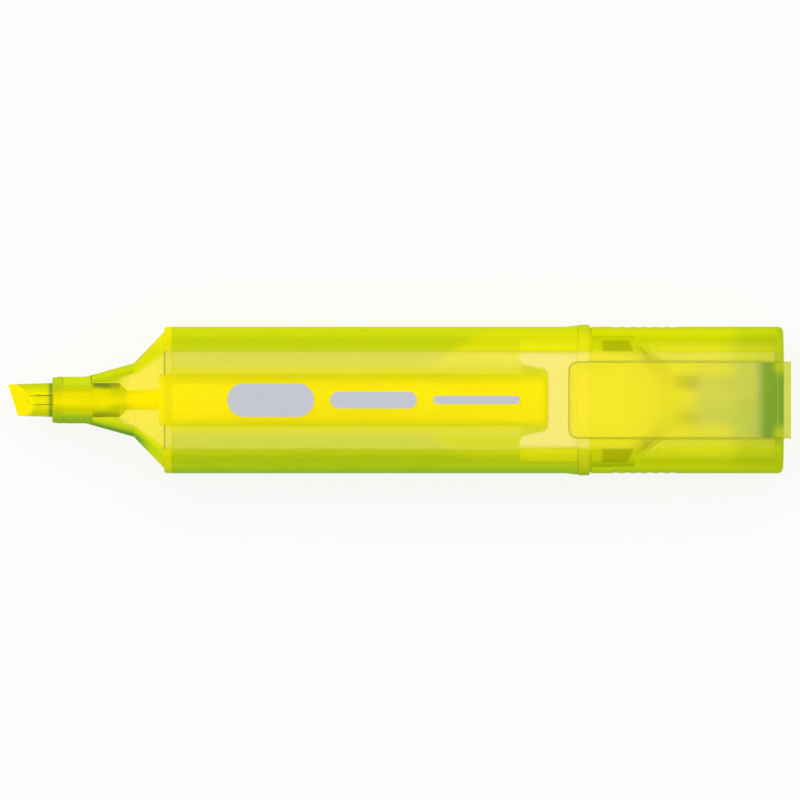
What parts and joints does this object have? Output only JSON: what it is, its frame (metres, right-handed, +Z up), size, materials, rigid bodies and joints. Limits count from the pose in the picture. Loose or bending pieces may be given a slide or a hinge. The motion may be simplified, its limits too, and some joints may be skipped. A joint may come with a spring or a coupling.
{
  "type": "highlighter",
  "caption": "Flat see-through highlighter pen with a chisel nib, a shoulder that turns into a round nose, an ink reservoir and a clip cap posted on its rear end.",
  "frame": {"origin": "middle of the length and width, on the surface that the pen lies on", "axes": "+X along the pen from the nib to the cap, +Y across its width, +Z up through the clip"},
  "size_m": [0.1172, 0.0226, 0.0165],
  "materials": {
    "shell": "see-through yellow-green moulding",
    "plug": "pale see-through yellow moulding",
    "nib_fibre": "pressed fibre soaked with ink",
    "ink_fibre": "bonded fibre soaked with ink",
    "film": "thin film"
  },
  "bodies": {
    "pen": {"barrel": "shell", "front_section": "shell", "nib": "nib_fibre", "reservoir_core": "ink_fibre", "reservoir_film": "film", "rear_plug": "plug"},
    "cap": {"cap": "shell", "inner_cap": "plug"},
    "clip": {"clip": "shell"}
  },
  "joints": [
    {"name": "cap_slide", "type": "slide", "parent": "pen", "child": "cap", "axis": [1, 0, 0], "range_m": [0, 0.012]},
    {"name": "clip_flex", "type": "hinge", "parent": "cap", "child": "clip", "pos_m": [0.0556, 0, 0.01335], "axis": [0, 1, 0], "range_deg": [0, 5], "stiffness_Nm_per_rad": 0.6}
  ]
}
